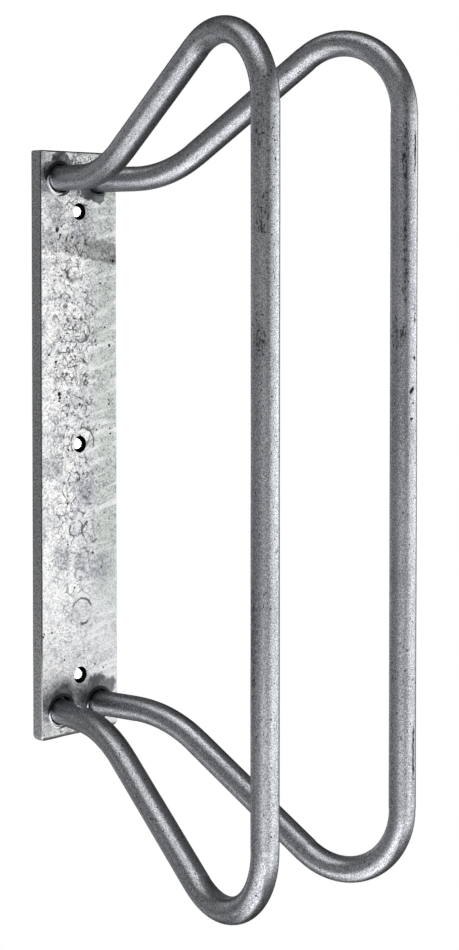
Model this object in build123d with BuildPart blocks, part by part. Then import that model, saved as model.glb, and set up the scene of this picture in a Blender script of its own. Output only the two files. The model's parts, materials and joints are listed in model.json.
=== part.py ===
from build123d import *
import math
import os

# Wall-mounted bicycle wheel holder: a flat-bar plate and two bent round-bar loops, welded together.
# Millimetres. +Z is up, +Y points into the wall and -Y out of it.
# The origin is the centre of the plate's wall face, which lies in the plane Y = 0.

os.makedirs("parts", exist_ok=True)

# Driving dimensions: the plate
PLATE_WIDTH = 40.0
PLATE_THICKNESS = 6.0
PLATE_LENGTH = 236.0
SHEARED_END_RADIUS = 1.8  # the lower end, where the zinc ran down and rounded the cut
ARRIS_RADIUS = 0.6
RIM_RADIUS = 0.4  # the zinc also rounds the front rim of each hole

# Driving dimensions: the holes
SCREW_HOLE_DIAMETER = 6.4
SCREW_HOLE_COUNT = 3
SCREW_PITCH = 94.0
BAR_HOLE_CLEARANCE = 1.4  # on the diameter, because the bar passes a square-drilled hole at a slant
COUNTERSINK_DEPTH = 1.6
WELD_PENETRATION = 3.2  # how deep the weld reaches into the hole beside the bar

# Driving dimensions: the loops
BAR_DIAMETER = 10.0
ENTRY_SPACING = 21.0  # between the two loops at the plate's front face
ENTRY_HEIGHT = 214.0  # between the two ends of one loop
FLARE_ANGLE = 10.5  # between each loop's plane and the holder's middle plane
STUB_LENGTH = 35.0  # from the plate's front face to the corner of the gentle bend
ARM_ANGLE = 33.7  # between the slanted arm and the stub
REACH = 142.0  # from the plate's front face to the centre line of the outer bar
GENTLE_BEND_RADIUS = 53.0
TIGHT_BEND_RADIUS = 27.0

# Sizes that follow from these
bar_radius = BAR_DIAMETER / 2
bar_hole_radius = bar_radius + BAR_HOLE_CLEARANCE / 2
countersink_radius = bar_hole_radius + COUNTERSINK_DEPTH
entry_z = ENTRY_HEIGHT / 2
corner_z = entry_z + (REACH - STUB_LENGTH) * math.tan(math.radians(ARM_ANGLE))
flare = math.radians(FLARE_ANGLE)
# The hole is centred on the bar at half the plate's thickness, and the bar ends at the countersink.
bar_hole_x = ENTRY_SPACING / 2 - PLATE_THICKNESS / 2 * math.tan(flare)
bar_in_plate = (PLATE_THICKNESS - COUNTERSINK_DEPTH) / math.cos(flare)

front_plane = Plane.XZ.offset(PLATE_THICKNESS)
wall_plane = Plane(origin=(0, 0, 0), x_dir=(1, 0, 0), z_dir=(0, 1, 0))


sides = {"left": -1, "right": 1}
heights = {"upper": 1, "lower": -1}


def loop_plane(side):
    """The plane that one loop lies in: its x runs out of the plate along the bar, its y is up."""
    outwards = Vector(side * math.sin(flare), -math.cos(flare), 0)
    origin = (side * ENTRY_SPACING / 2, -PLATE_THICKNESS, 0)
    return Plane(origin=origin, x_dir=outwards, z_dir=outwards.cross(Vector(0, 0, 1)))


def bar_end_plane(side, height):
    """The plane of one bar end's face inside the plate, its normal along the bar out of the wall."""
    in_loop = loop_plane(side)
    end_centre = in_loop.from_local_coords((-bar_in_plate, height * entry_z))
    return Plane(origin=end_centre, z_dir=in_loop.x_dir)


# Mounting plate: flat bar with three screw holes, and four bar holes countersunk from the wall side
with BuildPart() as mounting_plate:
    with BuildSketch(Plane.XZ):
        Rectangle(PLATE_WIDTH, PLATE_LENGTH)
    extrude(amount=PLATE_THICKNESS)
    fillet(mounting_plate.edges().filter_by(Axis.X).group_by(Axis.Z)[0], SHEARED_END_RADIUS)
    side_face_edges = mounting_plate.faces().filter_by(Axis.X).edges()
    top_cross_edges = mounting_plate.edges().filter_by(Axis.X).group_by(Axis.Z)[-1]
    fillet(side_face_edges + top_cross_edges, ARRIS_RADIUS)
    with Locations(front_plane):
        with GridLocations(SCREW_PITCH, SCREW_PITCH, 1, SCREW_HOLE_COUNT):
            Hole(SCREW_HOLE_DIAMETER / 2)
    with Locations(wall_plane):
        with GridLocations(2 * bar_hole_x, ENTRY_HEIGHT, 2, 2):
            CounterSinkHole(bar_hole_radius, countersink_radius, counter_sink_angle=90)
    front_rims = mounting_plate.faces().filter_by(Axis.Y).sort_by(Axis.Y)[0].inner_wires().edges()
    fillet(front_rims, RIM_RADIUS)

mounting_plate.part.label = "mounting_plate"
export_step(mounting_plate.part, "parts/mounting_plate.step")


# Loops: round bar with a gentle bend and a tight bend at each end of the long outer stretch
for side_name, side in sides.items():
    with BuildPart() as loop:
        with BuildLine(loop_plane(side)) as centre_line:
            FilletPolyline(
                (-bar_in_plate, entry_z),
                (STUB_LENGTH, entry_z),
                (REACH, corner_z),
                (REACH, -corner_z),
                (STUB_LENGTH, -entry_z),
                (-bar_in_plate, -entry_z),
                radius=[GENTLE_BEND_RADIUS, TIGHT_BEND_RADIUS, TIGHT_BEND_RADIUS, GENTLE_BEND_RADIUS],
            )
        with BuildSketch(bar_end_plane(side, 1)):
            Circle(bar_radius)
        sweep(path=centre_line.line)

    loop.part.label = f"{side_name}_loop"
    export_step(loop.part, f"parts/{side_name}_loop.step")


# Welds: metal that fills the countersink behind each bar end, ground flush with the wall face
for height_name, height in heights.items():
    for side_name, side in sides.items():
        hole_centre = Plane(origin=(side * bar_hole_x, 0, height * entry_z))
        with BuildPart() as weld:
            with BuildSketch(hole_centre):
                Polygon(
                    (0, 0),
                    (countersink_radius, 0),
                    (bar_hole_radius, -COUNTERSINK_DEPTH),
                    (bar_hole_radius, -WELD_PENETRATION),
                    (0, -WELD_PENETRATION),
                    align=None,
                )
            revolve(axis=Axis(hole_centre.origin, (0, 1, 0)))
            with BuildSketch(bar_end_plane(side, height)):
                Circle(bar_radius)
            extrude(amount=PLATE_THICKNESS, mode=Mode.SUBTRACT)

        weld.part.label = f"weld_{height_name}_{side_name}"
        export_step(weld.part, f"parts/weld_{height_name}_{side_name}.step")
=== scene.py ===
import json
import math
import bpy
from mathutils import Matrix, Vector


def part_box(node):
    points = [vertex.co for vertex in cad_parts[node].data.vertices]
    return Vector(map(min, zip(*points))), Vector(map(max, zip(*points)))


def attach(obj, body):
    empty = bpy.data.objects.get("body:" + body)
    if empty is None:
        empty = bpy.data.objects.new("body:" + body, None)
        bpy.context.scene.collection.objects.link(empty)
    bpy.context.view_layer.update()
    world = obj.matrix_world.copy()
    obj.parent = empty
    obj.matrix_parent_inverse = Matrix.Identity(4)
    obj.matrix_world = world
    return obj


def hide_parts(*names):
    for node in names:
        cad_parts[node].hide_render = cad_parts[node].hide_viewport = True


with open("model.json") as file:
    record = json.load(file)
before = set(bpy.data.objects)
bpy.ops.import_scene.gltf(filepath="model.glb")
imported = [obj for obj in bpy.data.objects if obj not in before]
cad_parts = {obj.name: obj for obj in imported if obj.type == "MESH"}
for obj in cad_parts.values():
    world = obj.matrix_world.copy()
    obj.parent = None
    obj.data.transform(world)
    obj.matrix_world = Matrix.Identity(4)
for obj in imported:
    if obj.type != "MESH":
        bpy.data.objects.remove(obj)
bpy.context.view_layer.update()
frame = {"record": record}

from types import SimpleNamespace

import bmesh
import bpy
from mathutils import Matrix, Vector, geometry, noise

# Looks of the wall-mounted bicycle wheel holder: hot-dip galvanised plate, loops and welds.
# Metres, in the frame of the CAD model: +Z up, -Y out of the wall, the plate's wall face in Y = 0.

MM = 0.001

# Sizes read from the frame
plate_low, plate_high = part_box("mounting_plate")
loop_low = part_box("right_loop")[0]
weld_low, weld_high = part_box("weld_upper_right")
mounts = {mount["name"]: mount for mount in frame["record"]["mounts"]}
plate_thickness = plate_high.y - plate_low.y
plate_half_width = plate_high.x
plate_half_length = plate_high.z
screw_hole_radius = mounts["end_screw_holes"]["dims"]["hole_r_mm"] * MM
screw_pitch = mounts["end_screw_holes"]["dims"]["spacing_y_mm"] * MM / 2
bar_hole_x = (weld_low.x + weld_high.x) / 2
entry_z = (weld_low.z + weld_high.z) / 2
countersink_radius = (weld_high.x - weld_low.x) / 2
weld_depth = weld_high.y - weld_low.y

# The design's other sizes, which no box gives
BAR_RADIUS = 5.0 * MM
BAR_HOLE_RADIUS = 5.7 * MM
FLARE = math.radians(10.5)
ARM_ANGLE = math.radians(33.7)
STUB_LENGTH = 35.0 * MM
GENTLE_BEND_RADIUS = 53.0 * MM
TIGHT_BEND_RADIUS = 27.0 * MM
ARRIS_RADIUS = 0.6 * MM
SHEARED_END_RADIUS = 1.8 * MM

countersink_depth = countersink_radius - BAR_HOLE_RADIUS
entry_x = bar_hole_x + plate_thickness / 2 * math.tan(FLARE)
reach = (-loop_low.y - BAR_RADIUS - plate_thickness) / math.cos(FLARE)
corner_z = entry_z + (reach - STUB_LENGTH) * math.tan(ARM_ANGLE)
bar_in_plate = (plate_thickness - countersink_depth) / math.cos(FLARE)

SIDES = {"left": -1, "right": 1}
HEIGHTS = {"upper": 1, "lower": -1}


def smooth_step(low, high, value):
    """0 at low, 1 at high, held beyond them, with an S-shaped climb between; low may be the larger."""
    share = min(max((value - low) / (high - low), 0.0), 1.0)
    return share * share * (3 - 2 * share)


def ripple(point, wavelength, seed):
    """Smooth noise from about -1 to 1 whose bumps are about one wavelength apart."""
    return noise.noise(point / wavelength + Vector((seed * 17.3, seed * 5.1, seed * 9.7)))


def new_object(name, mesh, smooth=True):
    """Links a mesh to the scene as an object, shaded smooth unless told otherwise."""
    thing = bpy.data.objects.new(name, mesh)
    bpy.context.scene.collection.objects.link(thing)
    for polygon in mesh.polygons:
        polygon.use_smooth = smooth
    return thing


def bridge(build, rings):
    """Quads between each ring of vertices and the next."""
    for ring, next_ring in zip(rings, rings[1:]):
        for index in range(len(ring)):
            other = (index + 1) % len(ring)
            build.faces.new((ring[index], ring[other], next_ring[other], next_ring[index]))


# ---------------------------------------------------------------- loops: bent round bar

RING_SPACING = 0.8 * MM
RING_POINTS = 72
BEND_FLATTENING = 0.03  # share of the radius that a tight bend loses across its plane
SCAR_DEPTH = 0.15 * MM

# Marks on the upright bars: height in millimetres, the compass direction they face in degrees
# (0 straight out of the wall), their half height and half turn, and (tarnish with painted reflection, pitting,
# scarring)
# Part of the tarnish is painted reflection: the long dark streaks beside the highlights stand for dark
# surroundings mirrored in the bars
BAR_MARKS = {
    "right": [
        (94, -45, 38, 10, (0.8, 0.45, 0)),
        (112, -46, 13, 13, (1.0, 0.6, 0)),
        (68, -46, 9, 12, (0.95, 0.5, 0)),
        (47.5, -52, 3.5, 14, (1.0, 0.9, 0)),
        (45, -85, 11, 25, (0.55, 0, 0)),
        (39, 3, 0.8, 10, (1, 0, 0.8)),
        (27.5, -8, 0.9, 9, (1, 0, 1)),
        (26.5, -18, 0.8, 8, (1, 0, 1)),
        (16.5, -14, 0.7, 8, (1, 0, 0.7)),
        (116, 2, 9, 6, (0.9, 0.8, 0.8)),
        (55, 4, 7, 6, (0.7, 0.7, 0.3)),
        (-107, 3, 12, 5, (1, 0.7, 0.9)),
    ],
    "left": [
        (121, -76, 10, 30, (0.6, 0, 0)),
        (90, -57, 9, 26, (0.65, 0.75, 0)),
        (114, -8, 12, 12, (0.2, 0.9, 0)),
        (49, -68, 10, 30, (0.6, 0.1, 0)),
        (-55, -106, 24, 20, (0.5, 0, 0)),
    ],
}


def bar_route():
    """Samples of one loop's centre line in its own plane: (position, tangent, bend curvature)."""
    corners = [
        Vector((-bar_in_plate, entry_z)),
        Vector((STUB_LENGTH, entry_z)),
        Vector((reach, corner_z)),
        Vector((reach, -corner_z)),
        Vector((STUB_LENGTH, -entry_z)),
        Vector((-bar_in_plate, -entry_z)),
    ]
    radii = [GENTLE_BEND_RADIUS, TIGHT_BEND_RADIUS, TIGHT_BEND_RADIUS, GENTLE_BEND_RADIUS]
    samples = []
    start = corners[0]
    for before, corner, after, radius in zip(corners, corners[1:], corners[2:], radii):
        arriving = (corner - before).normalized()
        leaving = (after - corner).normalized()
        turn = arriving.angle_signed(leaving)
        setback = radius * math.tan(abs(turn) / 2)
        bend_start = corner - arriving * setback
        samples += straight_samples(start, bend_start)
        samples += bend_samples(bend_start, arriving, -turn, radius)
        start = corner + leaving * setback
    samples += straight_samples(start, corners[-1])
    last_tangent = (corners[-1] - corners[-2]).normalized()
    samples.append((corners[-1], last_tangent, 0.0))
    return samples


def straight_samples(start, end):
    """Samples from start up to, but not at, end."""
    steps = max(1, round((end - start).length / RING_SPACING))
    tangent = (end - start).normalized()
    return [(start.lerp(end, step / steps), tangent, 0.0) for step in range(steps)]


def bend_samples(start, tangent, turn, radius):
    """Samples round an arc that starts at start along tangent and turns left by turn."""
    side = math.copysign(1.0, turn)
    to_centre = Vector((-tangent.y, tangent.x)) * side
    centre = start + to_centre * radius
    steps = max(2, round(abs(turn) * radius / RING_SPACING))
    samples = []
    for step in range(steps):
        rotation = Matrix.Rotation(turn * step / steps, 2)
        samples.append((centre - rotation @ to_centre * radius, rotation @ tangent, side / radius))
    return samples


def build_loop(side_name):
    """One loop as a swept skin, with flattened bends and the slight waves of a zinc coat."""
    side = SIDES[side_name]
    outwards = Vector((side * math.sin(FLARE), -math.cos(FLARE), 0))
    upwards = Vector((0, 0, 1))
    across = outwards.cross(upwards)
    origin = Vector((side * entry_x, -plate_thickness, 0))
    route = bar_route()
    tight_curvature = 1 / TIGHT_BEND_RADIUS

    mesh = bpy.data.meshes.new(f"{side_name}_loop_skin")
    build = bmesh.new()
    layers = {name: build.verts.layers.float_vector.new(name) for name in ("unrolled", "marks")}
    rings = []
    along = 0.0
    previous = route[0][0]
    for position, tangent, curvature in route:
        along += (position - previous).length
        previous = position
        in_plane = outwards * -tangent.y + upwards * tangent.x
        centre = origin + outwards * position.x + upwards * position.y
        flattening = BEND_FLATTENING * abs(curvature) / tight_curvature
        is_upright = position.x > reach - 2 * BAR_RADIUS
        ring = []
        for index in range(RING_POINTS):
            angle = 2 * math.pi * index / RING_POINTS
            in_share, across_share = math.cos(angle), math.sin(angle)
            straightened = Vector((in_share * BAR_RADIUS, across_share * BAR_RADIUS, along + side))
            offset = in_plane * in_share * (1 - flattening) + across * across_share
            marks = bar_marks(side_name, centre.z, offset) if is_upright else Vector((0, 0, 0))
            radius = BAR_RADIUS + zinc_on_bar(straightened) - marks.z * SCAR_DEPTH
            vertex = build.verts.new(centre + offset * radius)
            vertex[layers["unrolled"]] = straightened
            vertex[layers["marks"]] = marks
            ring.append(vertex)
        rings.append(ring)
    bridge(build, rings)
    build.faces.new(reversed(rings[0]))
    build.faces.new(rings[-1])
    bmesh.ops.recalc_face_normals(build, faces=build.faces)
    build.to_mesh(mesh)
    build.free()
    return new_object(f"galvanised_{side_name}_loop", mesh)


def bar_marks(side_name, height, offset):
    """Tarnish with painted reflection, pitting and scarring, each from 0 to 1, at a place on an upright bar.
    """
    facing = math.degrees(math.atan2(offset.x, -offset.y))
    marks = Vector((0, 0, 0))
    for middle, direction, half_height, half_turn, kinds in BAR_MARKS[side_name]:
        off = math.hypot((height / MM - middle) / half_height, (facing - direction) / half_turn)
        share = smooth_step(1.4, 0.5, off)
        marks = Vector(max(mark, share * kind) for mark, kind in zip(marks, kinds))
    return marks


def zinc_on_bar(straightened):
    """How far the zinc coat stands off the bar, by its place on the straightened bar."""
    stretched = Vector((straightened.x, straightened.y, straightened.z * 0.4))
    swell = ripple(stretched, 22 * MM, 8) * 0.1 * MM
    waves = ripple(stretched, 9 * MM, 1) * 0.035 * MM
    lumps = ripple(straightened, 2.6 * MM, 2) * 0.01 * MM
    return swell + waves + lumps


# ---------------------------------------------------------------- plate: flat bar with seven holes

SHEET_SPACING = 0.75 * MM
BACK_SHEET_SPACING = 1.6 * MM
WELD_DISTANCE = 1e-7  # points of a sheet closer than this become one
SHEET_MARGIN = 0.6  # share of the spacing that the sheets' inner points keep from every edge
ROUNDING_STEPS = 5
CORNER_STEPS = 10
WALL_STEPS = 6
SCREW_HOLE_POINTS = 48
BAR_HOLE_POINTS = 72
TOP_CORNER_RADIUS = 0.8 * MM
BOTTOM_CORNER_RADIUS = 2.2 * MM
RIM_BORDER = 0.15 * MM  # a flat ring round each rim, so that its rounding shades crisply
SCREW_RIM = 0.3 * MM
BAR_RIM_DEPTH = 0.5 * MM
LIP_HEIGHT = 0.22 * MM  # a lip of zinc stands round each bar hole
LIP_CREST_WIDTH = 0.3 * MM
LIP_SLOPE_WIDTH = 0.5 * MM
LIP_RADIUS = BAR_HOLE_RADIUS + LIP_CREST_WIDTH + RIM_BORDER + LIP_SLOPE_WIDTH


def plate_outline():
    """Points round the plate seen from the front: (point, outward normal, arris radius)."""
    corners = [
        (Vector((1, 1)), TOP_CORNER_RADIUS, 0.0),
        (Vector((-1, 1)), TOP_CORNER_RADIUS, 90.0),
        (Vector((-1, -1)), BOTTOM_CORNER_RADIUS, 180.0),
        (Vector((1, -1)), BOTTOM_CORNER_RADIUS, 270.0),
    ]
    arcs = []
    for signs, radius, start_angle in corners:
        centre = Vector(
            (signs.x * (plate_half_width - radius), signs.y * (plate_half_length - radius))
        )
        arc = []
        for step in range(CORNER_STEPS + 1):
            angle = math.radians(start_angle + 90.0 * step / CORNER_STEPS)
            normal = Vector((math.cos(angle), math.sin(angle)))
            arc.append((centre + normal * radius, normal))
        arcs.append(arc)
    outline = []
    for arc, next_arc in zip(arcs, arcs[1:] + arcs[:1]):
        outline += arc
        end, normal = arc[-1]
        start = next_arc[0][0]
        steps = round((start - end).length / SHEET_SPACING)
        outline += [(end.lerp(start, step / steps), normal) for step in range(1, steps)]
    rounding = SHEARED_END_RADIUS - ARRIS_RADIUS
    return [
        (point, normal, ARRIS_RADIUS + rounding * smooth_step(0.2, 1.0, -normal.y))
        for point, normal in outline
    ]


def edge_rings():
    """Rings of (x, y, z) down the plate's rim, from the front sheet to the wall side's sheet."""
    outline = plate_outline()
    rings = []
    for step in range(ROUNDING_STEPS + 1):
        angle = math.pi / 2 * step / ROUNDING_STEPS
        inset, drop = 1 - math.sin(angle), 1 - math.cos(angle)
        rings.append([
            (point - normal * radius * inset, -plate_thickness + radius * drop)
            for point, normal, radius in outline
        ])
    for step in range(1, WALL_STEPS):
        share = step / WALL_STEPS
        rings.append([
            (point, -plate_thickness + radius + (plate_thickness - 2 * radius) * share)
            for point, normal, radius in outline
        ])
    mirrored = [
        [(point, -plate_thickness - y) for point, y in ring]
        for ring in reversed(rings[: ROUNDING_STEPS + 1])
    ]
    return [[Vector((p.x, y, p.y)) for p, y in ring] for ring in rings + mirrored]


def hole_rings(centre, profile, points):
    """Rings of (x, y, z) down one hole, from a profile of (radius, y) pairs."""
    rings = []
    for radius, y in profile:
        ring = []
        for index in range(points):
            angle = 2 * math.pi * index / points
            ring.append(centre + Vector((radius * math.cos(angle), y, radius * math.sin(angle))))
        rings.append(ring)
    return rings


def rounded_rim(hole_radius, width, depth, y, inwards):
    """(radius, y) pairs round a hole's rim; inwards is 1 going into the plate, -1 coming out."""
    pairs = [(hole_radius + width + RIM_BORDER, y)]
    for step in range(ROUNDING_STEPS + 1):
        angle = math.pi / 2 * step / ROUNDING_STEPS
        radius = hole_radius + width * (1 - math.sin(angle))
        pairs.append((radius, y + inwards * depth * (1 - math.cos(angle))))
    return pairs if inwards > 0 else pairs[::-1]


def plate_holes():
    """Every hole's rings, in a list: three screw holes and four bar holes with countersinks."""
    front, wall_side = -plate_thickness, 0.0
    screw_profile = rounded_rim(screw_hole_radius, SCREW_RIM, SCREW_RIM, front, 1)
    screw_profile += [(screw_hole_radius, front + plate_thickness * share) for share in (0.3, 0.5, 0.7)]
    screw_profile += rounded_rim(screw_hole_radius, SCREW_RIM, SCREW_RIM, wall_side, -1)
    bar_profile = [(LIP_RADIUS + RIM_BORDER, front)]
    for up in (0, 0.15, 0.85):
        bar_profile.append((LIP_RADIUS - LIP_SLOPE_WIDTH * up, front - LIP_HEIGHT * up))
    bar_profile += rounded_rim(BAR_HOLE_RADIUS, LIP_CREST_WIDTH, BAR_RIM_DEPTH, front - LIP_HEIGHT, 1)
    bar_profile += [(BAR_HOLE_RADIUS, front + plate_thickness * share) for share in (0.3, 0.5)]
    bar_profile += [(BAR_HOLE_RADIUS, -countersink_depth), (countersink_radius, wall_side)]
    holes = []
    for row in (-1, 0, 1):
        centre = Vector((0, 0, row * screw_pitch))
        holes.append(hole_rings(centre, screw_profile, SCREW_HOLE_POINTS))
    for side_name in SIDES:
        for height_name in HEIGHTS:
            holes.append(hole_rings(bar_hole(side_name, height_name), bar_profile, BAR_HOLE_POINTS))
    return holes


def bar_hole(side_name, height_name):
    """The middle of a bar hole, on the wall face."""
    return Vector((SIDES[side_name] * bar_hole_x, 0, HEIGHTS[height_name] * entry_z))


def fill_sheet(build, outer, holes, spacing):
    """Fills the flat region between an outer ring of vertices and the holes' rings with triangles."""
    points, edges, loops = [], [], []
    fixed = []
    for ring in [outer] + holes:
        first = len(points)
        points += [Vector((vertex.co.x, vertex.co.z)) for vertex in ring]
        fixed += ring
        edges += [(first + i, first + (i + 1) % len(ring)) for i in range(len(ring))]
        loops.append(points[first:])
    circles = [ring_circle(loop) for loop in loops[1:]]
    points += grid_points(loops[0], circles, spacing)
    places, _, triangles, sources, *_ = geometry.delaunay_2d_cdt(points, edges, [], 1, WELD_DISTANCE)
    y = outer[0].co.y
    vertices = []
    for place, merged in zip(places, sources):
        on_rings = [source for source in merged if source < len(fixed)]
        if on_rings:
            vertices.append(fixed[on_rings[0]])
        else:
            vertices.append(build.verts.new((place.x, y, place.y)))
    for triangle in triangles:
        middle = sum((places[index] for index in triangle), Vector((0, 0))) / 3
        if all((middle - centre).length > radius for centre, radius in circles):
            build.faces.new([vertices[index] for index in triangle])


def grid_points(outline, circles, spacing):
    """A triangular grid of 2-D points that keeps off a sheet's outline and its holes' circles."""
    margin = spacing * SHEET_MARGIN
    low = Vector((min(p.x for p in outline), min(p.y for p in outline)))
    high = Vector((max(p.x for p in outline), max(p.y for p in outline)))
    rows = int((high.y - low.y) / (spacing * math.sqrt(0.75)))
    columns = int((high.x - low.x) / spacing)
    points = []
    for row in range(1, rows):
        z = low.y + row * (high.y - low.y) / rows
        shift = 0.5 * (row % 2)
        for column in range(1, columns):
            x = low.x + (column + shift) * (high.x - low.x) / columns
            point = Vector((x, z))
            inside = min(x - low.x, high.x - x, z - low.y, high.y - z) > margin
            clear = all((point - centre).length > radius + margin for centre, radius in circles)
            if inside and clear and corner_gap(x, z) >= margin:
                points.append(point)
    return points


def ring_circle(loop):
    """The centre and the inner radius of a round ring of 2-D points."""
    centre = sum(loop, Vector((0, 0))) / len(loop)
    return centre, min((point - centre).length for point in loop) * 0.999


def corner_gap(x, z):
    """How far a point is inside a sheet's bottom corners, which the sheared end's rounding eats into."""
    past_side = abs(x) - (plate_half_width - BOTTOM_CORNER_RADIUS)
    past_end = -z - (plate_half_length - BOTTOM_CORNER_RADIUS)
    if past_side < 0 or past_end < 0:
        return math.inf
    sheet_corner_radius = BOTTOM_CORNER_RADIUS - 0.8 * SHEARED_END_RADIUS
    return sheet_corner_radius - math.hypot(past_side, past_end)


def build_plate():
    """The plate's skin: two triangulated sheets joined by the rim and by the holes' walls."""
    mesh = bpy.data.meshes.new("mounting_plate_skin")
    build = bmesh.new()
    rim = [[build.verts.new(place) for place in ring] for ring in edge_rings()]
    holes = [[[build.verts.new(place) for place in ring] for ring in rings] for rings in plate_holes()]
    bridge(build, rim)
    for rings in holes:
        bridge(build, rings)
    fill_sheet(build, rim[0], [rings[0] for rings in holes], SHEET_SPACING)
    fill_sheet(build, rim[-1], [rings[-1] for rings in holes], BACK_SHEET_SPACING)
    bmesh.ops.recalc_face_normals(build, faces=build.faces)
    build.normal_update()
    shifts = [(vertex, vertex.normal * zinc_on_plate(vertex.co)) for vertex in build.verts]
    for vertex, shift in shifts:
        vertex.co += shift
    build.to_mesh(mesh)
    build.free()
    return new_object("galvanised_mounting_plate", mesh)


def zinc_on_plate(place):
    """How far the zinc coat stands off the plate; nothing on the wall face, which lies flat."""
    free = smooth_step(0.0, 1.0 * MM, -place.y)
    swell = ripple(place, 16 * MM, 3) * 0.09 * MM
    waves = ripple(place, 5 * MM, 4) * 0.04 * MM
    cobbles = ripple(place, 1.9 * MM, 5) * 0.018 * MM
    drained = smooth_step(-0.95, -1.0, place.z / plate_half_length)
    drip = drained * (0.12 * MM + ripple(place, 7 * MM, 6) * 0.12 * MM)
    return free * (swell + waves + cobbles + drip)


# ---------------------------------------------------------------- welds behind the plate

WELD_RING_POINTS = 64
WELD_RING_WIDTH = 0.8 * MM
WELD_FACE_RINGS = 9
WELD_CLEARANCE = 0.02 * MM  # round the weld in its hole, and four times that round the bar
WELD_GRINDING = 0.03 * MM  # how far the ground face lies below the wall face, and how uneven it is


def weld_profile():
    """(radius, y) pairs from the middle of the ground face, down the countersink, to the bar's side."""
    profile = [(WELD_RING_WIDTH * (ring + 0.75), 0.0) for ring in range(WELD_FACE_RINGS - 1)]
    profile += [(countersink_radius - 0.2 * MM, 0.0), (countersink_radius - 0.05 * MM, -WELD_CLEARANCE)]
    outer = BAR_HOLE_RADIUS - WELD_CLEARANCE
    profile += [(outer, -countersink_depth), (outer, -weld_depth * 0.7), (outer, -weld_depth * 0.95)]
    inner = BAR_RADIUS + 4 * WELD_CLEARANCE
    profile += [(inner, -weld_depth), (inner, -countersink_depth - 1.0 * MM)]
    return profile


def build_weld(height_name, side_name):
    """A weld's cup round the bar end: ground flat on the wall side, following the bar's slant inside."""
    centre = bar_hole(side_name, height_name)
    profile = weld_profile()
    mesh = bpy.data.meshes.new(f"weld_{height_name}_{side_name}_skin")
    build = bmesh.new()
    rings = []
    for index, (radius, y) in enumerate(profile):
        follows_bar = index >= len(profile) - 2
        bar_shift = SIDES[side_name] * (-plate_thickness / 2 - y) * math.tan(FLARE) if follows_bar else 0.0
        ring = []
        for step in range(WELD_RING_POINTS):
            angle = 2 * math.pi * step / WELD_RING_POINTS
            place = centre + Vector((radius * math.cos(angle) + bar_shift, y, radius * math.sin(angle)))
            if y == 0.0:
                place.y -= WELD_GRINDING * (1 + ripple(place, 2.4 * MM, 7))
            ring.append(build.verts.new(place))
        rings.append(ring)
    bridge(build, rings)
    build.faces.new(rings[0])
    build.faces.new(rings[-1])
    bmesh.ops.recalc_face_normals(build, faces=build.faces)
    build.to_mesh(mesh)
    build.free()
    return new_object(f"ground_weld_{height_name}_{side_name}", mesh)


# ---------------------------------------------------------------- materials

class Nodes:
    """A small helper that adds nodes to a material's or a world's tree and links them."""

    def __init__(self, tree):
        self.tree = tree

    def add(self, kind, inputs=None, **settings):
        node = self.tree.nodes.new(kind)
        for setting, value in settings.items():
            setattr(node, setting, value)
        for socket, value in (inputs or {}).items():
            self.set(node.inputs[socket], value)
        return node

    def set(self, socket, value):
        if isinstance(value, bpy.types.NodeSocket):
            self.tree.links.new(value, socket)
        else:
            socket.default_value = value

    def math(self, operation, first, second=0.0, third=0.0):
        inputs = {0: first, 1: second, 2: third}
        return self.add("ShaderNodeMath", inputs, operation=operation).outputs[0]

    def vector_math(self, operation, first, second):
        return self.add("ShaderNodeVectorMath", {0: first, 1: second}, operation=operation).outputs[0]

    def ramp(self, value, low, high, out_low=0.0, out_high=1.0):
        """Maps low..high to out_low..out_high along an S, and holds both ends."""
        inputs = {"Value": value, 1: low, 2: high, 3: out_low, 4: out_high}
        return self.add("ShaderNodeMapRange", inputs, interpolation_type="SMOOTHSTEP").outputs[0]

    def mix(self, share, first, second):
        """A colour from first to second."""
        node = self.add("ShaderNodeMix", data_type="RGBA")
        self.set(node.inputs[0], share)
        self.set(node.inputs[6], first)
        self.set(node.inputs[7], second)
        return node.outputs[2]

    def all_of(self, *shares):
        """The product of several shares."""
        result = shares[0]
        for share in shares[1:]:
            result = self.math("MULTIPLY", result, share)
        return result

    def any_of(self, *shares):
        """The largest of several shares."""
        result = shares[0]
        for share in shares[1:]:
            result = self.math("MAXIMUM", result, share)
        return result

    def noise(self, place, size, detail=2.0, roughness=0.5):
        """Noise from 0 to 1 whose features are about size across."""
        inputs = {"Vector": place, "Scale": 1 / size, "Detail": detail, "Roughness": roughness}
        return self.add("ShaderNodeTexNoise", inputs).outputs["Fac"]

    def warped(self, place, size, amount):
        """The place pushed about by noise."""
        texture = self.add("ShaderNodeTexNoise", {"Vector": place, "Scale": 1 / size, "Detail": 2.0})
        centred = self.vector_math("SUBTRACT", texture.outputs["Color"], (0.5, 0.5, 0.5))
        scaled = self.add("ShaderNodeVectorMath", {0: centred, "Scale": amount}, operation="SCALE")
        return self.vector_math("ADD", place, scaled.outputs[0])

    def mapping(self, place, scale, rotation=(0, 0, 0)):
        """The place turned and stretched."""
        inputs = {"Vector": place, "Scale": scale, "Rotation": rotation}
        return self.add("ShaderNodeMapping", inputs).outputs[0]

    def cells(self, place, size, feature="F1"):
        """Distance, in cell sizes, to the nearest cell's centre or edge."""
        inputs = {"Vector": place, "Scale": 1 / size}
        return self.add("ShaderNodeTexVoronoi", inputs, feature=feature).outputs["Distance"]

    def distance(self, place, point):
        node = self.add("ShaderNodeVectorMath", {0: place, 1: point}, operation="DISTANCE")
        return node.outputs["Value"]

    def spot(self, place, point, radius, softness):
        """1 within radius of the point, falling to 0 over softness."""
        return self.ramp(self.distance(place, point), radius, radius + softness, 1.0, 0.0)

    def bump(self, height, depth, strength=1.0, below=None):
        node = self.add("ShaderNodeBump", {"Height": height, "Distance": depth, "Strength": strength})
        if below is not None:
            self.set(node.inputs["Normal"], below)
        return node.outputs["Normal"]


EDGE_TINT = (0.22, 0.22, 0.23, 1)  # zinc's dull skin reflects less at a glancing angle than clean metal


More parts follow.
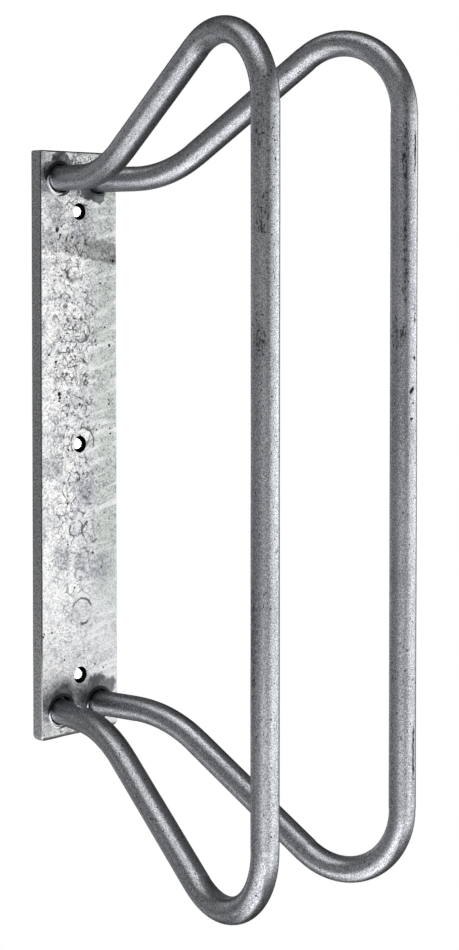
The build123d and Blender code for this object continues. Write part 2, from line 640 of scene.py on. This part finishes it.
def new_metal(name):
    """A metal material, its node helper and its shader."""
    material = bpy.data.materials.new(name)
    material.use_nodes = True
    shader = material.node_tree.nodes["Principled BSDF"]
    shader.inputs["Metallic"].default_value = 1.0
    shader.inputs["Specular Tint"].default_value = EDGE_TINT
    return material, Nodes(material.node_tree), shader


def grey(value, blue=0.0):
    """A grey that leans to blue, or to green where blue is negative."""
    return (value * (1 - abs(blue)), value * (1 - blue / 3), value * (1 + blue), 1)


def bar_material():
    """Satin hot-dip zinc on drawn round bar: fine grain, cloudy tarnish partly painted as dark reflection,
    small pits and scars.
    """
    material, n, shader = new_metal("zinc_bar_coat")
    place = n.add("ShaderNodeAttribute", attribute_name="unrolled").outputs["Vector"]
    marks = n.add("ShaderNodeAttribute", attribute_name="marks").outputs["Vector"]
    tarnish_and_reflection, pitting, scars = n.add("ShaderNodeSeparateXYZ", {0: marks}).outputs
    stretched = n.mapping(place, (1, 1, 0.35))
    clouds = n.noise(stretched, 14 * MM, 3.0, 0.55)
    mottle = n.noise(stretched, 2.2 * MM, 4.0, 0.65)
    grain = n.noise(place, 0.5 * MM, 1.0, 0.7)
    colour = n.mix(n.ramp(clouds, 0.35, 0.65), grey(0.64, 0.05), grey(0.84, 0.04))
    colour = n.mix(n.ramp(mottle, 0.32, 0.62, 0.35, 0.0), colour, grey(0.38, 0.09))
    colour = n.mix(n.ramp(grain, 0.38, 0.55, 0.62, 0.0), colour, grey(0.24, 0.08))
    colour = n.mix(n.ramp(grain, 0.52, 0.68, 0.0, 0.9), colour, grey(1.0))

    speckle = n.noise(stretched, 0.6 * MM, 2.0)
    # dark tarnish marks, partly painted reflection beside the highlights
    tarnish_and_reflection_mottled = n.all_of(tarnish_and_reflection, n.ramp(mottle, 0.3, 0.7, 1.0, 0.4))
    colour = n.mix(n.math("MULTIPLY", tarnish_and_reflection_mottled, 0.6), colour, grey(0.20, 0.10))
    dark = n.ramp(n.math("MULTIPLY_ADD", tarnish_and_reflection_mottled, 0.24, speckle), 0.64, 0.73, 0.0, 0.9)
    colour = n.mix(dark, colour, grey(0.05, 0.05))
    holes = n.ramp(n.cells(place, 1.5 * MM), 0.2, 0.32, 1.0, 0.0)
    crowd = n.math("ADD", pitting, n.ramp(clouds, 0.45, 0.75, 0.0, 0.3))
    chosen = n.math("SUBTRACT", n.noise(place, 1.4 * MM, 0.0), n.math("MULTIPLY", crowd, 0.3))
    chosen = n.ramp(chosen, 0.26, 0.32, 1.0, 0.0)
    torn = n.ramp(n.math("ADD", scars, n.ramp(speckle, 0.3, 0.7, -0.3, 0.3)), 0.3, 0.7)
    black = n.any_of(n.all_of(holes, chosen, 0.9), torn)
    colour = n.mix(black, colour, grey(0.03))

    n.set(shader.inputs["Base Color"], colour)
    rough = n.math("ADD", n.ramp(mottle, 0.3, 0.7, 0.36, 0.28), n.all_of(n.any_of(dark, black), 0.12))
    n.set(shader.inputs["Roughness"], rough)
    normal = n.bump(mottle, 0.06 * MM, 0.5)
    normal = n.bump(n.math("SUBTRACT", grain, black), 0.03 * MM, 0.5, normal)
    n.set(shader.inputs["Normal"], normal)
    return material


# Places on the plate's front, (x, z) in millimetres
# Dark patches by the bar entries: painted shadows and reflections of the bars, over zinc dulled by the welds'
# heat
DULL_AND_SHADOW_PATCHES = [  # place, radius, softness of the edge, strength
    ((-14, 109), 4.6, 0.8, 1.0), ((-9, 113), 4.4, 0.8, 1.0),
    ((5, 102.5), 3.8, 0.8, 1.0), ((10, 101), 3.0, 0.8, 1.0),
    ((9, -100), 4.4, 2.0, 0.85), ((15.0, -101), 3.4, 1.6, 0.7),
    ((-9.5, -101), 3.6, 4.0, 1.0), ((3, -104), 1.0, 6.0, 1.0),
]
# Darker bluish patches; those by the bars are painted reflections of the bars in the plate
HAZE_AND_REFLECTION_PATCHES = [  # place, radius
    ((-11, -103), 9.0), ((4, -102), 8.0), ((-16, 103), 4.0), ((1, 90), 7.0), ((-12, 93), 5.0),
    ((-9, -45), 5.0), ((0, -48), 4.0), ((11, -51), 6.0), ((-14, -8), 5.0), ((3, -20), 5.0),
]
BUBBLE_SCARS = [  # place, radius
    ((1, 45.5), 4.2), ((-2, -34), 3.4), ((6, -36), 4.6), ((1, -68), 5.2), ((1.5, 0.5), 6.0),
]
PLATE_PITS = [  # place, radius
    ((-10.7, 20.8), 1.0), ((-10.4, 19.2), 0.7), ((-12.4, 33.6), 0.6), ((-12.8, 31.5), 0.4),
    ((0.1, 16.1), 0.6), ((15.9, 39.5), 0.6), ((15.7, 15.4), 0.55), ((15.7, 17.2), 0.4),
    ((16.3, 3.3), 0.5), ((16.2, 5.4), 0.4), ((-11.5, 86.5), 1.0), ((-10, 84.6), 0.6),
    ((-3.7, 83.6), 0.6), ((-0.5, 81.5), 0.5), ((3, 82.5), 0.5), ((5, -20), 0.5), ((-3, -58), 0.5),
    ((11, 65), 0.5), ((-6, -2), 0.5), ((18, 74), 0.6), ((16.6, 74.6), 0.4),
]

# Light and shade painted round three bars, as they fall from the camera's side; they don't move with the light
LIT_LIPS = [("left", "upper"), ("left", "lower"), ("right", "lower")]
COLLAR_RADIUS = LIP_RADIUS + 0.35 * MM  # a dark ring round each of those bars
LIT_RADIUS = LIP_RADIUS - 1.8 * MM  # a bright disc in it, pushed down and to the left
LIT_SHIFT = Vector((-1.8, 0, -1.8)) * MM


def on_front(place):
    """A point on the plate's front seen straight on, from (x, z) in millimetres."""
    return (place[0] * MM, 0, place[1] * MM)


def plate_fields(n):
    """Places and noises that several parts of the plate's coat are made of."""
    place = n.add("ShaderNodeTexCoord").outputs["Object"]
    x, y, z = n.add("ShaderNodeSeparateXYZ", {0: place}).outputs
    cobbles = n.cells(n.warped(place, 1.6 * MM, 1.8 * MM), 1.7 * MM, "DISTANCE_TO_EDGE")
    return SimpleNamespace(
        place=place,
        x=x,
        z=z,
        front=n.ramp(y, -plate_thickness * 0.9, -plate_thickness * 0.7, 1.0, 0.0),
        seen=n.vector_math("MULTIPLY", place, (1, 0, 1)),
        patches=n.noise(place, 4 * MM, 3.0, 0.6),
        cobbles=n.ramp(cobbles, 0.02, 0.16),
        grain=n.noise(place, 0.8 * MM, 2.0, 0.6),
        broken=n.ramp(n.noise(place, 2.2 * MM, 1.0), 0.42, 0.58),
        lively=n.ramp(z, -75 * MM, -15 * MM, 0.5, 1.0),
    )


def ground_colour(n, coat):
    """The coat's colour: mottled and lighter to the left, greener to the right, darker towards the bottom,
    cobbled, and streaked on the slant.
    """
    clouds = n.noise(coat.place, 14 * MM, 3.0, 0.55)
    bright = n.ramp(n.math("ADD", clouds, n.ramp(coat.x, -15 * MM, 15 * MM, 0.14, -0.14)), 0.3, 0.65)
    colour = n.mix(n.all_of(bright, n.ramp(coat.patches, 0.3, 0.5)), grey(0.80, 0.03), grey(1.0))
    # darker towards the bottom
    colour = n.mix(n.ramp(coat.z, -100 * MM, -45 * MM, 0.3, 0.0), colour, grey(0.5, 0.03))
    tinted = n.all_of(n.ramp(coat.x, 0, 14 * MM), n.ramp(coat.z, -90 * MM, -40 * MM))
    colour = n.mix(n.all_of(tinted, 0.9), colour, (0.58, 0.63, 0.59, 1))

    valleys = n.all_of(n.ramp(coat.cobbles, 0.0, 0.9, 1.0, 0.0), n.ramp(coat.patches, 0.38, 0.6, 1.0, 0.3))
    colour = n.mix(n.all_of(valleys, coat.broken, coat.lively, 0.7), colour, grey(0.12, 0.02))
    dark_grain = n.all_of(n.ramp(coat.grain, 0.34, 0.52, 0.6, 0.0), coat.lively)
    colour = n.mix(dark_grain, colour, grey(0.20, 0.02))

    slanted = n.mapping(coat.place, (0.5, 1, 1), (0, 0.42, 0))
    scratches = n.ramp(n.noise(slanted, 0.55 * MM, 1.0), 0.36, 0.54, 0.32, 0.0)
    colour = n.mix(scratches, colour, grey(0.20, 0.03))
    streaks = n.noise(n.mapping(slanted, (0.24, 1, 1)), 2.4 * MM)
    streaks = n.all_of(n.ramp(streaks, 0.52, 0.68), n.ramp(coat.x, 0, 8 * MM), 0.4)
    return n.mix(streaks, colour, grey(1.0))


def zinc_run_and_reflection(n, coat):
    """Where a thicker run of zinc lies, its dark colour partly painted reflection: a slanting band below the
    top screw hole, crisper on the right.
    """
    middle = n.math("MULTIPLY_ADD", coat.x, -0.15, 79.5 * MM)
    ragged = n.add("ShaderNodeSeparateXYZ", {0: n.warped(coat.place, 5 * MM, 3.5 * MM)}).outputs[2]
    below = n.math("SUBTRACT", middle, ragged)
    crisp_from = n.ramp(coat.x, 2 * MM, 10 * MM, -9 * MM, -5.5 * MM)
    crisp_to = n.ramp(coat.x, 2 * MM, 10 * MM, -1 * MM, -4.5 * MM)
    band = n.all_of(n.ramp(below, crisp_from, crisp_to), n.ramp(below, 3.5 * MM, 4.4 * MM, 1.0, 0.0))
    return n.all_of(band, n.ramp(coat.x, -24 * MM, 12 * MM, 0.35, 1.0), coat.front)


def plate_crazing(n, coat):
    """Fine dark lines down the plate's middle, and round scars where bubbles burst."""
    place = coat.place
    column = n.ramp(n.math("ABSOLUTE", n.math("ADD", coat.x, 3 * MM)), 6 * MM, 15 * MM, 1.0, 0.0)
    cracks = n.cells(n.warped(place, 5 * MM, 4 * MM), 6 * MM, "DISTANCE_TO_EDGE")
    cracks = n.all_of(n.ramp(cracks, 0.01, 0.07, 1.0, 0.0), n.ramp(n.noise(place, 5 * MM), 0.4, 0.55))
    contour = n.math("ABSOLUTE", n.math("SUBTRACT", n.noise(place, 6.5 * MM, 2.5, 0.55), 0.5))
    veins = n.all_of(n.ramp(contour, 0.008, 0.026, 1.0, 0.0), n.ramp(n.noise(place, 8 * MM), 0.4, 0.54))
    uneven = n.math("MULTIPLY_ADD", coat.broken, 0.65, 0.35)
    crazing = n.all_of(n.any_of(cracks, veins), column, uneven, coat.lively)

    swirled = n.vector_math("MULTIPLY", n.warped(place, 3 * MM, 2.0 * MM), (1, 0, 1))
    half_closed = n.ramp(n.noise(place, 6 * MM, 1.0), 0.42, 0.56, 0.15, 0.9)
    for centre, radius in BUBBLE_SCARS:
        off_ring = n.math("SUBTRACT", n.distance(swirled, on_front(centre)), radius * MM)
        ring = n.ramp(n.math("ABSOLUTE", off_ring), 0.2 * MM, 0.6 * MM, 1.0, 0.0)
        crazing = n.any_of(crazing, n.all_of(ring, half_closed, coat.front))
    return crazing


def plate_pits(n, coat):
    """Small pits all over, and the larger ones at their places."""
    pits = n.ramp(n.cells(n.warped(coat.place, 1.5 * MM, 1.5 * MM), 2.8 * MM), 0.12, 0.2, 1.0, 0.0)
    pits = n.all_of(pits, n.ramp(n.noise(coat.place, 7 * MM), 0.5, 0.58))
    uneven = n.vector_math("MULTIPLY", n.warped(coat.place, 1.2 * MM, 1.0 * MM), (1, 0, 1))
    for centre, radius in PLATE_PITS:
        pit = n.spot(uneven, on_front(centre), radius * MM * 0.7, radius * MM * 0.5)
        pits = n.any_of(pits, n.all_of(pit, coat.front))
    return pits


def weld_dulling_and_bar_shade(n, coat):
    """Dark patches by the bar entries, painted shadows and reflections of the bars over zinc that the welds'
    heat dulled, and a fainter bluish haze, painted reflection where it lies by the bars.
    """
    jagged = n.warped(n.warped(coat.place, 5 * MM, 4 * MM), 1.5 * MM, 3.4 * MM)
    jagged = n.vector_math("MULTIPLY", jagged, (1, 0, 1))
    dull_and_shadow, haze_and_reflection = 0.0, 0.0
    for centre, radius, softness, strength in DULL_AND_SHADOW_PATCHES:
        patch = n.spot(jagged, on_front(centre), radius * MM, softness * MM)
        dull_and_shadow = n.any_of(dull_and_shadow, n.all_of(patch, strength))
    for centre, radius in HAZE_AND_REFLECTION_PATCHES:
        haze_and_reflection = n.any_of(haze_and_reflection, n.spot(coat.seen, on_front(centre), radius * MM / 2, radius * MM))
    return dull_and_shadow, haze_and_reflection


def painted_bar_collars(n, coat):
    """Painted shade round each of three bars, and a painted highlight on the lip of zinc in its lower left."""
    painted_collar_shade, painted_lip_highlights = 0.0, 0.0
    for side_name, height_name in LIT_LIPS:
        hole = bar_hole(side_name, height_name)
        painted_collar_shade = n.any_of(painted_collar_shade, n.spot(coat.seen, hole, COLLAR_RADIUS, 0.3 * MM))
        painted_lip_highlights = n.any_of(painted_lip_highlights, n.spot(coat.seen, hole + LIT_SHIFT, LIT_RADIUS, 0.3 * MM))
    return painted_collar_shade, n.all_of(painted_lip_highlights, painted_collar_shade)


def edge_colour(n, coat, colour, painted_collar_shade):
    """Duller cut sides, with painted shade that darkens them towards the top, and arrises in painted shade but
    for a painted highlight near the bottom; none of it on the painted collars.
    """
    normal = n.add("ShaderNodeTexCoord").outputs["Normal"]
    facing = n.math("ABSOLUTE", n.add("ShaderNodeSeparateXYZ", {0: normal}).outputs[1])
    off_collars = n.math("SUBTRACT", 1.0, painted_collar_shade)
    grain = n.ramp(coat.grain, 0.38, 0.6)
    # painted shade: the cut sides darker towards the top, lighter towards the bottom
    shaded_upper_side = n.mix(grain, grey(0.31, 0.04), grey(0.69, 0.03))
    lit_lower_side = n.mix(grain, grey(0.5, 0.02), grey(1.0, 0.01))
    side_tone_and_shade = n.mix(n.ramp(coat.z, -118 * MM, -30 * MM), lit_lower_side, shaded_upper_side)
    cut = n.all_of(n.ramp(facing, 0.35, 0.75, 0.9, 0.0), off_collars)
    colour = n.mix(cut, colour, side_tone_and_shade)

    # painted shade along the arrises, and a painted highlight on them near the bottom
    arris = n.all_of(n.ramp(facing, 0.15, 0.35), n.ramp(facing, 0.88, 0.98, 1.0, 0.0), off_collars)
    painted_arris_shade_and_highlight = n.mix(n.ramp(coat.z, -95 * MM, -80 * MM), grey(1.0), grey(0.06))
    return n.mix(n.all_of(arris, 0.85), colour, painted_arris_shade_and_highlight), cut


def screw_hole_walls(n, coat):
    """Where the screw holes' walls are, which are painted in deep shade, and a painted highlight at each one's
    back on the right, as of light from behind.
    """
    x_squared = n.math("POWER", coat.x, 2.0)
    shaded_bores, painted_gleams = 0.0, 0.0
    for row in (-1, 0, 1):
        off_row = n.math("SUBTRACT", coat.z, row * screw_pitch)
        off_axis = n.math("SQRT", n.math("MULTIPLY_ADD", off_row, off_row, x_squared))
        near = n.ramp(off_axis, screw_hole_radius + 0.1 * MM, screw_hole_radius + 0.3 * MM, 1.0, 0.0)
        shaded_bores = n.any_of(shaded_bores, near)
        back_right = (screw_hole_radius, -1.1 * MM, row * screw_pitch + (row - 1) * 0.4 * MM)
        painted_gleams = n.any_of(painted_gleams, n.spot(coat.place, back_right, 1.9 * MM, 0.4 * MM))
    return shaded_bores, painted_gleams


def plate_material():
    """Bright mottled zinc on flat bar: crazed, pitted, and dull where the welds kept it hot, with painted
    shadow, reflection and highlights round the bars, along the edges and in the screw holes.
    """
    material, n, shader = new_metal("zinc_plate_coat")
    coat = plate_fields(n)
    run_and_reflection = zinc_run_and_reflection(n, coat)
    crazing = plate_crazing(n, coat)
    pits = plate_pits(n, coat)
    dull_and_shadow, haze_and_reflection = weld_dulling_and_bar_shade(n, coat)
    painted_collar_shade, painted_lip_highlights = painted_bar_collars(n, coat)
    shaded_bores, painted_gleams = screw_hole_walls(n, coat)

    colour = ground_colour(n, coat)
    # dark run of zinc below the top screw hole, its darkness partly painted reflection
    colour = n.mix(n.all_of(run_and_reflection, n.ramp(coat.grain, 0.35, 0.6, 1.0, 0.35)), colour, grey(0.24, 0.01))
    colour = n.mix(crazing, colour, grey(0.09))
    colour = n.mix(pits, colour, grey(0.02))
    # bluish haze, painted reflection of the bars where it lies by them
    colour = n.mix(n.all_of(haze_and_reflection, n.ramp(coat.grain, 0.35, 0.6, 0.9, 0.35)), colour, grey(0.26, 0.08))
    # painted shadows and reflections of the bars by their entries, over heat-dulled zinc
    colour = n.mix(n.all_of(dull_and_shadow, n.ramp(coat.patches, 0.4, 0.65, 1.0, 0.7)), colour, grey(0.10, 0.08))
    # painted shade round three bars, and a painted highlight on the lip in its lower left
    colour = n.mix(n.all_of(painted_collar_shade, 0.95), colour, grey(0.05, 0.05))
    colour = n.mix(painted_lip_highlights, colour, grey(1.0))
    colour, cut = edge_colour(n, coat, colour, painted_collar_shade)
    # painted shade on the screw holes' walls, with a painted highlight at the back of each
    colour = n.mix(shaded_bores, colour, n.mix(painted_gleams, grey(0.01), grey(1.0)))
    n.set(shader.inputs["Base Color"], colour)

    duller = n.all_of(n.any_of(dull_and_shadow, run_and_reflection, shaded_bores, cut), 0.2)
    n.set(shader.inputs["Roughness"], n.math("ADD", n.ramp(coat.patches, 0.3, 0.7, 0.34, 0.24), duller))
    normal = n.bump(n.math("SUBTRACT", coat.cobbles, n.any_of(crazing, pits)), 0.03 * MM, 0.6)
    normal = n.bump(coat.patches, 0.12 * MM, 0.5, normal)
    normal = n.bump(coat.grain, 0.03 * MM, 0.5, normal)
    n.set(shader.inputs["Normal"], normal)
    return material


def weld_material():
    """Dull zinc over ground weld metal."""
    material, n, shader = new_metal("zinc_weld_coat")
    place = n.add("ShaderNodeTexCoord").outputs["Object"]
    drawn_out = n.mapping(place, (1, 1, 0.06), (0, 0.5, 0))
    scratches = n.noise(drawn_out, 0.5 * MM, 3.0)
    mottle = n.noise(place, 2.2 * MM, 3.0)
    colour = n.mix(n.ramp(mottle, 0.3, 0.7), grey(0.36), grey(0.54))
    n.set(shader.inputs["Base Color"], colour)
    n.set(shader.inputs["Roughness"], n.ramp(scratches, 0.3, 0.7, 0.4, 0.6))
    n.set(shader.inputs["Normal"], n.bump(scratches, 0.05 * MM, 0.5))
    return material


# ---------------------------------------------------------------- the object

zinc_bar = bar_material()
zinc_plate = plate_material()
zinc_weld = weld_material()

plate = build_plate()
plate.data.materials.append(zinc_plate)
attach(plate, "root")
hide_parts("mounting_plate")

for side_name in SIDES:
    loop = build_loop(side_name)
    loop.data.materials.append(zinc_bar)
    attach(loop, "root")
    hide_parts(f"{side_name}_loop")

for height_name in HEIGHTS:
    for side_name in SIDES:
        weld = build_weld(height_name, side_name)
        weld.data.materials.append(zinc_weld)
        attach(weld, "root")
        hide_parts(f"weld_{height_name}_{side_name}")


# ---------------------------------------------------------------- camera, floor and light

CAMERA_PLACE = Vector((-0.5061, -0.5999, 0.0745))
CAMERA_TURN = math.radians(44.89)
CAMERA_DIP = math.radians(1.93)
CAMERA_LENS = 73.05
CAMERA_SHIFT = -0.158

camera_data = bpy.data.cameras.new("camera")
camera_data.lens = CAMERA_LENS
camera_data.shift_y = CAMERA_SHIFT
camera_data.clip_start = 0.01
camera = bpy.data.objects.new("camera", camera_data)
camera.location = CAMERA_PLACE
camera.rotation_euler = (math.pi / 2 - CAMERA_DIP, 0, -CAMERA_TURN)
bpy.context.scene.collection.objects.link(camera)
bpy.context.scene.camera = camera

HOLE_LAMP_SIZE = 3.2 * MM
HOLE_LAMP_GAP = 0.3 * MM
HOLE_LAMP_BRIGHTNESS = 9.0
FLOOR_DROP = 0.15
FLOOR_SIZE = 12.0
LIGHT_SOFTNESS = math.radians(26)  # width of a window's soft edge
STUDIO_GREY = 0.10
STUDIO_LIGHTS = [  # azimuth (0 is straight out of the wall), elevation, width, height, brightness
    (41, -8, 87, 40, 0.74),
    (45, -4, 38, 34, 0.35),
    (76, 0, 26, 21, 1.5),
    (-26, -28.5, 110, 25, 1.03),
    (-83, -56, 99, 57, 0.97),
    (-104, -82, 210, 30, 0.85),
    (-47, 82, 60, 29, 1.2),
    (-84, 63, 145, 37, 0.82),
    (157, -11, 61, 55, 0.5),
    (-144, -36, 58, 20, 0.26),
    (-115, 3, 150, 30, 0.14),
    (114, -5, 24, 110, -0.09),  # takes light away, which no real lamp does
]


def within(n, off, size):
    """1 while an angle is within a window of that size in degrees, falling to 0 across its soft edge."""
    half, soft = math.radians(size) / 2, LIGHT_SOFTNESS / 2
    return n.ramp(n.math("ABSOLUTE", off), half - soft, half + soft, 1.0, 0.0)


def studio_world():
    """Soft windows of light round the object, and white where the camera looks past it."""
    world = bpy.data.worlds.new("studio")
    world.use_nodes = True
    n = Nodes(world.node_tree)
    direction = n.add("ShaderNodeTexCoord").outputs["Generated"]
    axes = n.add("ShaderNodeSeparateXYZ", {0: direction}).outputs
    azimuth = n.math("ARCTAN2", axes[0], n.math("MULTIPLY", axes[1], -1.0))
    elevation = n.math("ARCSINE", axes[2])
    light = STUDIO_GREY
    for middle, height_angle, width, height, brightness in STUDIO_LIGHTS:
        turned = n.math("WRAP", n.math("SUBTRACT", azimuth, math.radians(middle)), math.pi, -math.pi)
        lifted = n.math("SUBTRACT", elevation, math.radians(height_angle))
        window = n.all_of(within(n, turned, width), within(n, lifted, height), brightness)
        light = n.math("ADD", light, window)
    is_camera = n.add("ShaderNodeLightPath").outputs["Is Camera Ray"]
    strength = n.math("ADD", n.all_of(light, n.math("SUBTRACT", 1.0, is_camera)), is_camera)
    background = world.node_tree.nodes["Background"]
    n.set(background.inputs["Strength"], strength)
    n.set(background.inputs["Color"], (1, 1, 1, 1))
    bpy.context.scene.world = world


def studio_floor():
    """A plain white floor that only the camera sees, so that it takes no light from below."""
    mesh = bpy.data.meshes.new("floor_sheet")
    half, z = FLOOR_SIZE / 2, loop_low.z - FLOOR_DROP
    corners = [(-half, -half, z), (half, -half, z), (half, half, z), (-half, half, z)]
    mesh.from_pydata(corners, [], [(0, 1, 2, 3)])
    floor = new_object("studio_floor", mesh)
    material = bpy.data.materials.new("floor_white")
    material.use_nodes = True
    shader = material.node_tree.nodes["Principled BSDF"]
    shader.inputs["Base Color"].default_value = (0, 0, 0, 1)
    shader.inputs["Specular IOR Level"].default_value = 0
    shader.inputs["Emission Color"].default_value = (1, 1, 1, 1)
    shader.inputs["Emission Strength"].default_value = 1
    mesh.materials.append(material)
    for kind in ("diffuse", "glossy", "transmission", "shadow"):
        setattr(floor, f"visible_{kind}", False)


def light_screw_holes():
    """A small lamp behind each screw hole, as light from the wall behind it."""
    for row in (-1, 0, 1):
        data = bpy.data.lights.new(f"hole_light_{row + 1}", "AREA")
        data.shape = "DISK"
        data.size = HOLE_LAMP_SIZE
        area = math.pi * (HOLE_LAMP_SIZE / 2) ** 2
        data.energy = HOLE_LAMP_BRIGHTNESS * math.pi * area
        lamp = bpy.data.objects.new(data.name, data)
        lamp.location = (screw_hole_radius * 0.5, HOLE_LAMP_GAP, row * screw_pitch)
        lamp.rotation_euler = (-math.pi / 2, 0, 0)
        lamp.visible_camera = False
        bpy.context.scene.collection.objects.link(lamp)


studio_world()
studio_floor()
light_screw_holes()
bpy.context.scene.view_settings.view_transform = "Standard"
